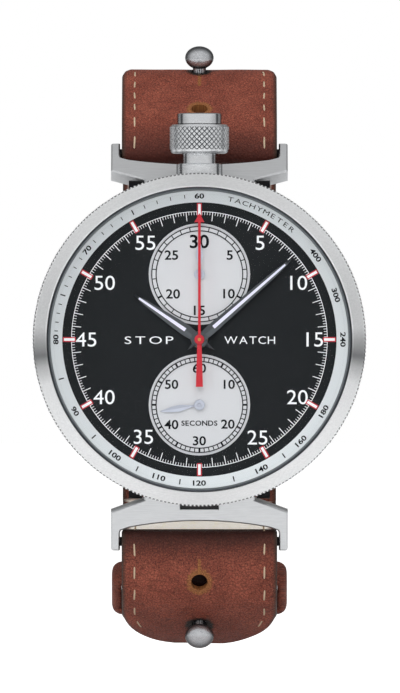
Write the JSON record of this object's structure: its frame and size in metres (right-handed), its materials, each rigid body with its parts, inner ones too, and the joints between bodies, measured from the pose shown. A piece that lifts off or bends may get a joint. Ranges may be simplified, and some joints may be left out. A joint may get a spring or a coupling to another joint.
{
  "type": "wrist stopwatch",
  "caption": "Round wrist stopwatch: hand-wound chronograph movement, button in the crown, hinged lug brackets and a leather strap held by ball studs and a pin buckle.",
  "frame": {"origin": "centre of the back window's flat outer face, on the axis of the central hands", "axes": "+X towards 3 o'clock, +Y out of the back towards the wrist, +Z towards 12 o'clock, so the dial faces -Y"},
  "size_m": [0.05, 0.0643, 0.0912],
  "materials": {
    "satin_steel": "circular satin brushing on the bezel, fine satin elsewhere",
    "polished_steel": "polished steel",
    "black_steel": "black hard coating on steel",
    "sapphire": "clear domed sapphire",
    "black_dial": "matte black with white printing",
    "silvered_dial": "silvered, fine grain, black printing",
    "scale_ring": "light grey-blue with black printing",
    "red_lacquer": "red lacquer",
    "gunmetal": "dark facetted metal with white luminous filling",
    "silvered_hand": "bright facetted metal",
    "nickel_silver": "nickel-plated, fine grain",
    "brass": "gilt brass",
    "blued_steel": "blued steel",
    "rubber_seal": "black nitrile rubber",
    "brown_leather": "aged reddish brown, dark dressed edges, cream stitching"
  },
  "bodies": {
    "case": {"case_middle": "satin_steel", "bezel": "satin_steel", "crystal": "sapphire", "tachymeter_ring": "scale_ring", "dial": "black_dial", "minute_counter_subdial": "silvered_dial", "seconds_subdial": "silvered_dial", "case_back": "black_steel", "back_gasket": "rubber_seal", "back_crystal": "sapphire", "crown_tube": "satin_steel", "mainplate": "nickel_silver", "barrel_bridge": "nickel_silver", "train_bridge": "nickel_silver", "balance_cock": "nickel_silver", "upper_hinge_pin": "polished_steel", "lower_hinge_pin": "polished_steel", "upper_strap": "brown_leather", "lower_strap": "brown_leather", "upper_stud": "polished_steel", "lower_stud": "polished_steel", "buckle_bar": "polished_steel"},
    "stem": {"winding_stem": "polished_steel"},
    "crown": {"crown": "polished_steel"},
    "pusher": {"pusher": "polished_steel"},
    "crown_wheel": {"crown_wheel": "polished_steel"},
    "ratchet_wheel": {"ratchet_wheel": "polished_steel"},
    "click": {"click": "polished_steel"},
    "barrel": {"barrel_drum": "brass", "mainspring": "polished_steel"},
    "centre": {"centre_wheel": "brass", "cannon_pinion": "polished_steel", "minute_hand": "gunmetal"},
    "third_wheel": {"third_wheel": "brass"},
    "seconds": {"fourth_wheel": "brass", "seconds_hand": "silvered_hand"},
    "escape_wheel": {"escape_wheel": "polished_steel"},
    "pallet_fork": {"pallet_fork": "polished_steel"},
    "balance": {"balance_wheel": "brass", "hairspring": "blued_steel"},
    "minute_wheel": {"minute_wheel": "brass"},
    "hour": {"hour_wheel": "brass", "hour_hand": "gunmetal"},
    "chronograph": {"chronograph_wheel": "brass", "sweep_hand": "red_lacquer"},
    "minute_counter": {"minute_counter_wheel": "brass", "counter_hand": "silvered_hand"},
    "coupling_lever": {"coupling_lever": "polished_steel"},
    "coupling_wheel": {"coupling_wheel": "brass"},
    "column_wheel": {"column_wheel": "polished_steel"},
    "operating_lever": {"operating_lever": "polished_steel"},
    "reset_hammer": {"reset_hammer": "polished_steel"},
    "upper_bracket": {"upper_bracket": "satin_steel", "upper_bar": "polished_steel"},
    "lower_bracket": {"lower_bracket": "satin_steel", "lower_bar": "polished_steel"},
    "release_button": {"release_button": "black_steel"},
    "sliding_keeper": {"sliding_keeper": "brown_leather"},
    "buckle_frame": {"buckle_frame": "satin_steel"},
    "buckle_tongue": {"buckle_tongue": "satin_steel"}
  },
  "joints": [
    {"name": "crown_pull", "type": "slide", "parent": "case", "child": "stem", "axis": [0, 0, 1], "range_m": [0, 0.0009]},
    {"name": "crown_turn", "type": "hinge", "parent": "stem", "child": "crown", "pos_m": [0, -0.0068, 0.028], "axis": [0, 0, 1], "continuous": true},
    {"name": "pusher_press", "type": "slide", "parent": "crown", "child": "pusher", "axis": [0, 0, -1], "range_m": [0, 0.0008], "stiffness_N_per_m": 100, "springref_m": -0.0001},
    {"name": "crown_wheel_turn", "type": "hinge", "parent": "case", "child": "crown_wheel", "pos_m": [-0.00449, -0.002, 0.00967], "axis": [0, 1, 0], "continuous": true},
    {"name": "ratchet_turn", "type": "hinge", "parent": "case", "child": "ratchet_wheel", "pos_m": [-0.00807, -0.002, 0.00393], "axis": [0, 1, 0], "continuous": true},
    {"name": "click_lift", "type": "hinge", "parent": "case", "child": "click", "pos_m": [-0.00687, -0.002, -0.00237], "axis": [0, 1, 0], "range_deg": [0, 10]},
    {"name": "seconds_turn", "type": "hinge", "parent": "case", "child": "seconds", "pos_m": [0, -0.002, -0.0098], "axis": [0, 1, 0], "continuous": true},
    {"name": "third_turn", "type": "hinge", "parent": "case", "child": "third_wheel", "pos_m": [0.00337, -0.002, -0.00545], "axis": [0, 1, 0], "continuous": true},
    {"name": "minutes_turn", "type": "hinge", "parent": "case", "child": "centre", "pos_m": [0, -0.002, 0], "axis": [0, 1, 0], "continuous": true},
    {"name": "minute_wheel_turn", "type": "hinge", "parent": "case", "child": "minute_wheel", "pos_m": [0.00236, -0.002, 0.00165], "axis": [0, 1, 0], "continuous": true},
    {"name": "hours_turn", "type": "hinge", "parent": "case", "child": "hour", "pos_m": [0, -0.002, 0], "axis": [0, 1, 0], "continuous": true},
    {"name": "barrel_turn", "type": "hinge", "parent": "case", "child": "barrel", "pos_m": [-0.00807, -0.002, 0.00393], "axis": [0, 1, 0], "continuous": true},
    {"name": "escape_turn", "type": "hinge", "parent": "case", "child": "escape_wheel", "pos_m": [0.00397, -0.002, -0.01124], "axis": [0, 1, 0], "continuous": true},
    {"name": "pallet_rock", "type": "hinge", "parent": "case", "child": "pallet_fork", "pos_m": [0.00636, -0.002, -0.00961], "axis": [0, 1, 0], "range_deg": [-5, 5]},
    {"name": "balance_swing", "type": "hinge", "parent": "case", "child": "balance", "pos_m": [0.0096, -0.002, -0.0074], "axis": [0, 1, 0], "range_deg": [-270, 270], "deforming": ["hairspring"]},
    {"name": "coupling_swing", "type": "hinge", "parent": "case", "child": "coupling_lever", "pos_m": [0, -0.002, -0.0098], "axis": [0, 1, 0], "range_deg": [0, 7.5]},
    {"name": "coupling_wheel_turn", "type": "hinge", "parent": "coupling_lever", "child": "coupling_wheel", "pos_m": [-0.00336, -0.002, -0.0053], "axis": [0, 1, 0], "continuous": true},
    {"name": "chronograph_turn", "type": "hinge", "parent": "case", "child": "chronograph", "pos_m": [0, -0.002, 0], "axis": [0, 1, 0], "continuous": true},
    {"name": "minute_counter_turn", "type": "hinge", "parent": "case", "child": "minute_counter", "pos_m": [0, -0.002, 0.0098], "axis": [0, 1, 0], "continuous": true},
    {"name": "column_wheel_turn", "type": "hinge", "parent": "case", "child": "column_wheel", "pos_m": [0.0094, -0.002, 0.0066], "axis": [0, 1, 0], "continuous": true},
    {"name": "operating_swing", "type": "hinge", "parent": "case", "child": "operating_lever", "pos_m": [0.0046, -0.002, 0.0132], "axis": [0, 1, 0], "range_deg": [-8, 0]},
    {"name": "hammer_lift", "type": "hinge", "parent": "case", "child": "reset_hammer", "pos_m": [0.0062, -0.002, 0.0016], "axis": [0, 1, 0], "range_deg": [0, 6]},
    {"name": "upper_bracket_tilt", "type": "hinge", "parent": "case", "child": "upper_bracket", "pos_m": [0, -0.0034, 0.0218], "axis": [-1, 0, 0], "range_deg": [-5, 12], "deforming": ["upper_strap"]},
    {"name": "lower_bracket_tilt", "type": "hinge", "parent": "case", "child": "lower_bracket", "pos_m": [0, -0.0034, -0.0218], "axis": [1, 0, 0], "range_deg": [-12, 30], "deforming": ["lower_strap"]},
    {"name": "release_press", "type": "slide", "parent": "lower_bracket", "child": "release_button", "axis": [0, 0.9781, 0.2079], "range_m": [0, 0.0004], "stiffness_N_per_m": 10, "springref_m": -0.0001},
    {"name": "keeper_slide", "type": "slide", "parent": "case", "child": "sliding_keeper", "axis": [0, 0.9063, 0.4226], "range_m": [-0.0015, 0.0015]},
    {"name": "buckle_tilt", "type": "hinge", "parent": "case", "child": "buckle_frame", "pos_m": [0, 0.04055, -0.01971], "axis": [-1, 0, 0], "range_deg": [0, 5]},
    {"name": "tongue_lift", "type": "hinge", "parent": "buckle_frame", "child": "buckle_tongue", "pos_m": [0, 0.04055, -0.01971], "axis": [-1, 0, 0], "range_deg": [0, 6]}
  ],
  "couplings": [
    {"joint": "crown_wheel_turn", "follows": "crown_turn", "ratio": 0.6},
    {"joint": "ratchet_turn", "follows": "crown_turn", "ratio": -0.375},
    {"joint": "third_turn", "follows": "seconds_turn", "ratio": -0.13333},
    {"joint": "minutes_turn", "follows": "seconds_turn", "ratio": 0.016667},
    {"joint": "minute_wheel_turn", "follows": "seconds_turn", "ratio": -0.0055556},
    {"joint": "hours_turn", "follows": "seconds_turn", "ratio": 0.0013889},
    {"joint": "barrel_turn", "follows": "seconds_turn", "ratio": -0.0022222},
    {"joint": "escape_turn", "follows": "seconds_turn", "ratio": -10},
    {"joint": "coupling_wheel_turn", "follows": "seconds_turn", "ratio": -2},
    {"joint": "minute_counter_turn", "follows": "chronograph_turn", "ratio": 0.033333},
    {"joint": "operating_swing", "follows": "pusher_press", "rad_per_m": -150}
  ]
}
